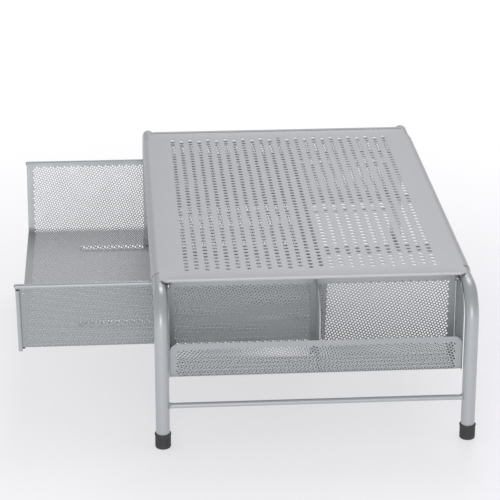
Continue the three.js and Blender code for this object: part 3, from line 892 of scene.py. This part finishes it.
def make_drawer_sheet():
    """The trough: left wall, floor in three parts and right wall, perforated up to its plain borders."""
    section = drawer_section()
    place = place_drawer(section)
    y0, y1 = DRAWER_FRONT, DRAWER_REAR
    length = section.length
    seam = length - (math.dist((FLOOR_X, DRAWER_FLOOR), (RIM_X, BEAD_Z)) + 3 * MM)
    wall_end = length - seam
    hole_y0, hole_y1 = y0 + SIDE_MARGIN, y1 - REAR_MARGIN
    # Left wall and floor share one run of holes, and the right wall starts its own beside the bend.
    field = [
        (TOP_MARGIN, hole_y0), (wall_end, hole_y0), (wall_end + 4 * MM, y0 + FRONT_MARGIN),
        (seam - SEAM_MARGIN, y0 + FRONT_MARGIN), (seam - SEAM_MARGIN, hole_y1), (TOP_MARGIN, hole_y1),
    ]
    centres = hole_centres(MESH_HOLES, field, ROWS_DOWN, (0, y0))
    outline = stepped(box_outline(0, seam, y0, y1), DRAWER_STEP)
    net = perforated_net(outline, centres, MESH_HOLES, ROWS_DOWN)
    cuts = [0, *np.linspace(wall_end, seam, 4)[:-1], length]
    nets = {}
    for name, a, b in zip(("left_wall", "floor_left", "floor_middle", "floor_right"), cuts, cuts[1:]):
        nets[name] = net.part(lambda m, a=a, b=b: (m[:, 0] >= a) & (m[:, 0] < b))
    field = box_outline(seam + SEAM_MARGIN, length - TOP_MARGIN, hole_y0, hole_y1)
    centres = hole_centres(MESH_HOLES, field, ROWS_UP, (seam, y0))
    outline = stepped(box_outline(seam, length, y0, y1), DRAWER_STEP)
    nets["right_wall"] = perforated_net(outline, centres, MESH_HOLES, ROWS_UP)
    for name, part in nets.items():
        piece = sheet_piece(f"drawer_{name}", part, place, SHEET_T)
        finish_piece(piece, "drawer", MESH_COAT, "mesh_coat", "drawer_tray")


RIM_SIDES = 28
NOSE_LENGTH = 1.7 * MM
NOSE_STEPS = 8
NOSE_TIP = 0.15  # size of a rim's very end, against its full size
ROLL_OUTER, ROLL_INNER = 1.95 * MM, 1.35 * MM
ROLL_SIDES = 24
ROLL_TOP = 127 * MM
ROLL_BOTTOM = DRAWER_FLOOR - 1.2 * MM
GLIDE_GAP = 0.3 * MM


def rim_stations(front, rear):
    """Stations along a rim, from its rounded front end to the glide."""
    side, up = (1, 0, 0), (0, 0, 1)
    stations = [((BEAD_X, front, BEAD_Z), side, up, NOSE_TIP)]
    for k in range(1, NOSE_STEPS + 1):
        turn = math.pi / 2 * k / NOSE_STEPS
        y = front + NOSE_LENGTH * (1 - math.cos(turn))
        stations.append(((BEAD_X, y, BEAD_Z), side, up, math.sin(turn)))
    stations.append(((BEAD_X, rear, BEAD_Z), side, up, 1.0))
    return stations


def make_drawer_rims():
    """Rolled rims with rounded front ends, and the rolled front edges of the walls."""
    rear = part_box("drawer_glide_right")[0].y - GLIDE_GAP
    lean = math.atan2(RIM_X - FLOOR_X, BEAD_Z - DRAWER_FLOOR)
    across = Vector((math.cos(lean), 0, -math.sin(lean)))
    ends = [(RIM_X - (BEAD_Z - z) * math.tan(lean) + (ROLL_OUTER - SHEET_T), DRAWER_FRONT + ROLL_OUTER, z)
            for z in (ROLL_BOTTOM, ROLL_TOP)]
    for side, mirror in (("right", False), ("left", True)):
        stations = rim_stations(DRAWER[0].y, rear)
        rim = sweep(f"drawer_{side}_rim", stations, circle(BEAD_R, RIM_SIDES)[::-1], mirror)
        finish_piece(rim, "drawer", TUBE_COAT, "powder_coat", "drawer_tray")
        roll = hollow_bar(f"drawer_{side}_front_roll", *ends, across, mirror)
        finish_piece(roll, "drawer", TUBE_COAT, "powder_coat", "drawer_tray")


def hollow_bar(name, start, end, across, mirror):
    """A short straight tube with open ends, drawn round the line from start to end."""
    start, end, across = Vector(start), Vector(end), Vector(across).normalized()
    side = (end - start).normalized().cross(across)
    rings = []
    for centre, radius in ((start, ROLL_OUTER), (end, ROLL_OUTER), (end, ROLL_INNER), (start, ROLL_INNER)):
        rings.append(np.array([centre + across * a + side * b for a, b in circle(radius, ROLL_SIDES)]))
    faces = [bands(ROLL_SIDES, len(rings), ring_loop=True)]
    return make_mesh(name, np.concatenate(rings), faces, mirror)


HEM_R = 1.25 * MM
HEM_TAIL = 4.5 * MM
HEM_STEPS = 13


def make_drawer_hem():
    """The floor's front edge, rolled down and back under itself."""
    r, t = HEM_R, SHEET_T
    half = FLOOR_X - DRAWER_BEND - 0.5 * MM
    angles = np.linspace(math.pi / 2, 3 * math.pi / 2, HEM_STEPS + 1)
    line = [(r * math.cos(a), r * math.sin(a)) for a in angles]
    outer = [((r + t / 2) / r * a, (r + t / 2) / r * b) for a, b in line]
    inner = [((r - t / 2) / r * a, (r - t / 2) / r * b) for a, b in line]
    profile = [*outer, (HEM_TAIL, -(r + t / 2)), (HEM_TAIL, -(r - t / 2)), *reversed(inner)]
    y, z = DRAWER_FRONT + r + t / 2, DRAWER_FLOOR + t / 2 - r
    stations = [((x, y, z), (0, 1, 0), (0, 0, 1), 1.0) for x in (-half, half)]
    hem = sweep("drawer_front_hem", stations, profile)
    finish_piece(hem, "drawer", TUBE_COAT, "powder_coat", "drawer_tray")


REAR_RIM_STEPS = 6
REAR_RIM_END = 1.5 * MM
REAR_PANEL_MARGIN = 5 * MM


def make_drawer_rear():
    """The drawer's rear wall with its rolled top edge."""
    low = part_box("drawer_rear_wall")[0]
    corners = [(-FLOOR_X, low.z, DRAWER_BEND), (FLOOR_X, low.z, DRAWER_BEND), (RIM_X, BEAD_Z, 1 * MM),
               (-RIM_X, BEAD_Z, 1 * MM)]
    field = inset(rounded(corners, FIELD_STEP), REAR_PANEL_MARGIN)
    centres = hole_centres(MESH_HOLES, field, ROWS_UP, (0, low.z))
    net = perforated_net(stepped(rounded(corners), DRAWER_STEP), centres, MESH_HOLES, ROWS_UP)
    wall = sheet_piece("drawer_rear_panel", net, upright(low.y + SHEET_T / 2), SHEET_T)
    finish_piece(wall, "drawer", MESH_COAT, "mesh_coat", "drawer_rear_wall")
    half = RIM_X - 1 * MM
    stations = []
    for k in range(REAR_RIM_STEPS + 1):
        turn = math.pi / 2 * k / REAR_RIM_STEPS
        x = -half + REAR_RIM_END * (1 - math.cos(turn)) - 0.5 * MM
        grow = max(NOSE_TIP, math.sin(turn))
        stations.append(((x, low.y + BEAD_R, BEAD_Z), (0, 1, 0), (0, 0, 1), grow))
    stations += [((-p[0], p[1], p[2]), s, u, g) for p, s, u, g in reversed(stations)]
    roll = sweep("drawer_rear_rim", stations, circle(BEAD_R, RIM_SIDES))
    finish_piece(roll, "drawer", TUBE_COAT, "powder_coat", "drawer_rear_wall")


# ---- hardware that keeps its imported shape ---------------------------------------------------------

def finish_hardware():
    """Rails, stiffeners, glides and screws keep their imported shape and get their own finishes."""
    finishes = {"drawer_rail": ZINC, "screw": ZINC, "glide": NYLON, "stiffener": TUBE_COAT}
    for name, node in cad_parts.items():
        for word, material in finishes.items():
            if word in name:
                node.data.materials.clear()
                node.data.materials.append(material)


# ---- studio ---------------------------------------------------------------------------------------

CAMERA = {"from_middle": (1.938, -0.178), "height": 0.853, "heading": 176.02, "pitch": 21.36, "lens": 148.85}


def make_camera():
    """The view along the stand from its right end, a little above it."""
    data = bpy.data.cameras.new("camera")
    data.lens = CAMERA["lens"]
    data.sensor_width = 36
    data.clip_end = 50
    camera = bpy.data.objects.new("camera", data)
    x, y = CAMERA["from_middle"]
    camera.location = (x, STAND_Y + y, CAMERA["height"])
    tilt, heading = math.radians(90 - CAMERA["pitch"]), math.radians(CAMERA["heading"] - 90)
    camera.rotation_euler = Euler((tilt, 0, heading))
    bpy.context.scene.collection.objects.link(camera)
    bpy.context.scene.camera = camera


FLOOR_HALF = 30


def make_floor():
    """A square of studio floor, 60 m across, on which the stand rests."""
    corners = [(-FLOOR_HALF, -FLOOR_HALF, 0), (FLOOR_HALF, -FLOOR_HALF, 0),
               (FLOOR_HALF, FLOOR_HALF, 0), (-FLOOR_HALF, FLOOR_HALF, 0)]
    floor = make_mesh("studio_ground", corners, [np.array([[0, 1, 2, 3]])])
    # The floor's material carries painted light: a glow that lightens the shade under the stand, with painted
    # shadow close to it.
    floor.data.materials.append(floor_with_painted_light())


def area_light(name, place, aim, size, power):
    """A round soft light at place, turned towards aim."""
    data = bpy.data.lights.new(name, "AREA")
    data.shape = "DISK"
    data.size = size
    data.energy = power
    light = bpy.data.objects.new(name, data)
    light.location = place
    light.rotation_euler = (Vector(aim) - Vector(place)).to_track_quat("-Z", "Y").to_euler()
    bpy.context.scene.collection.objects.link(light)


def make_lights():
    """Soft light from all round, a large lamp high beyond the left end and one lower beyond the right end."""
    world = bpy.data.worlds.new("studio")
    world.use_nodes = True
    background = world.node_tree.nodes["Background"]
    background.inputs["Color"].default_value = STUDIO_WHITE
    background.inputs["Strength"].default_value = 0.5
    bpy.context.scene.world = world
    area_light("overhead", place=(-1.7, 0.35, 2.0), aim=(0, 0, 0), size=1.5, power=19)
    area_light("front_fill", place=(2.7, -0.35, 0.7), aim=(0, 0, 0.1), size=1.3, power=20)
    bpy.context.scene.view_settings.view_transform = "Standard"


# ---- the whole object -----------------------------------------------------------------------------

make_frames()
make_feet()
make_cross_rods()
make_top_plate()
for side, mirror in (("right", False), ("left", True)):
    make_tray_sheet(side, mirror)
    make_tray_walls(side, mirror)
    make_divider(side, mirror)
make_drawer_sheet()
make_drawer_rims()
make_drawer_hem()
make_drawer_rear()
finish_hardware()
make_floor()
make_camera()
make_lights()
